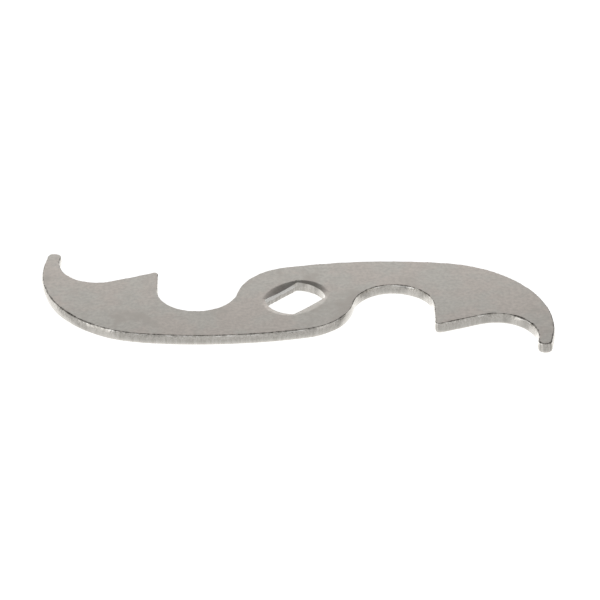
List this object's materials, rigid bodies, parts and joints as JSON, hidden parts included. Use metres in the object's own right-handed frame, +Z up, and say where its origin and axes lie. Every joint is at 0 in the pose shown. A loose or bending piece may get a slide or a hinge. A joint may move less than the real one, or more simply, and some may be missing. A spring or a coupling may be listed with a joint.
{
  "type": "case back opener",
  "caption": "Flat S-shaped steel plate tool with hooked ends, round finger notches and a central double-D hole, for opening watch case backs.",
  "frame": {"origin": "on the axis of the double-D hole, at the underside, which is the centre of the two-fold symmetry", "axes": "+X along the length, towards the hook whose tip points to -Y; +Z up through the thickness, out of the face whose hole edge is rolled over"},
  "size_m": [0.0948, 0.0332, 0.002],
  "materials": {
    "steel": "satin tumbled stainless steel, with sheared edges"
  },
  "bodies": {
    "root": {"opener_plate": "steel"}
  },
  "joints": []
}
